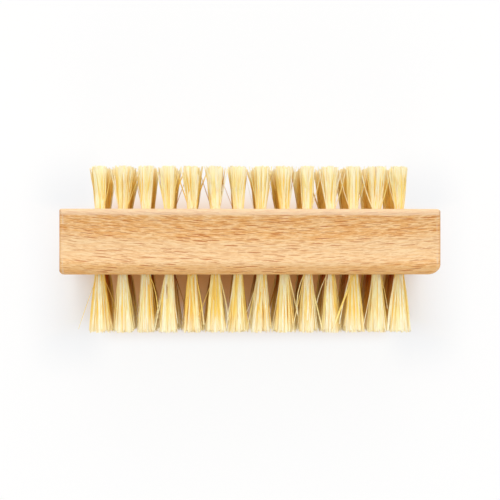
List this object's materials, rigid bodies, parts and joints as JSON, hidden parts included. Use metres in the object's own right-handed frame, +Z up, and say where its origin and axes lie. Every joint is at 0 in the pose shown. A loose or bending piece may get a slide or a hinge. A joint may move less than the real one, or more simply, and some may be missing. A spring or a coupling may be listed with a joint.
{
  "type": "nail brush",
  "caption": "Double-sided wooden nail brush: a grooved beech block with stiff plant-fibre tufts, long on one face and short on the other.",
  "frame": {"origin": "on the surface that the brush lies on, below the middle of the whole brush's outline", "axes": "+X along the block; +Y out of the short bristles and -Y out of the long ones; +Z up, from one grip side to the other"},
  "size_m": [0.095, 0.0418, 0.038],
  "materials": {
    "beech": "waxed satin",
    "plant_fibre": "matt, slightly waxy",
    "anchor_wire": "drawn flat wire"
  },
  "bodies": {
    "root": {"block": "beech", "long_tufts_row_1": "plant_fibre", "long_tufts_row_2": "plant_fibre", "long_tufts_row_3": "plant_fibre", "long_tufts_row_4": "plant_fibre", "long_tufts_row_5": "plant_fibre", "short_tufts_row_1": "plant_fibre", "short_tufts_row_2": "plant_fibre", "short_tufts_row_3": "plant_fibre", "short_tufts_row_4": "plant_fibre", "short_tufts_row_5": "plant_fibre", "long_anchors_row_1": "anchor_wire", "long_anchors_row_2": "anchor_wire", "long_anchors_row_3": "anchor_wire", "long_anchors_row_4": "anchor_wire", "long_anchors_row_5": "anchor_wire", "short_anchors_row_1": "anchor_wire", "short_anchors_row_2": "anchor_wire", "short_anchors_row_3": "anchor_wire", "short_anchors_row_4": "anchor_wire", "short_anchors_row_5": "anchor_wire"}
  },
  "joints": []
}
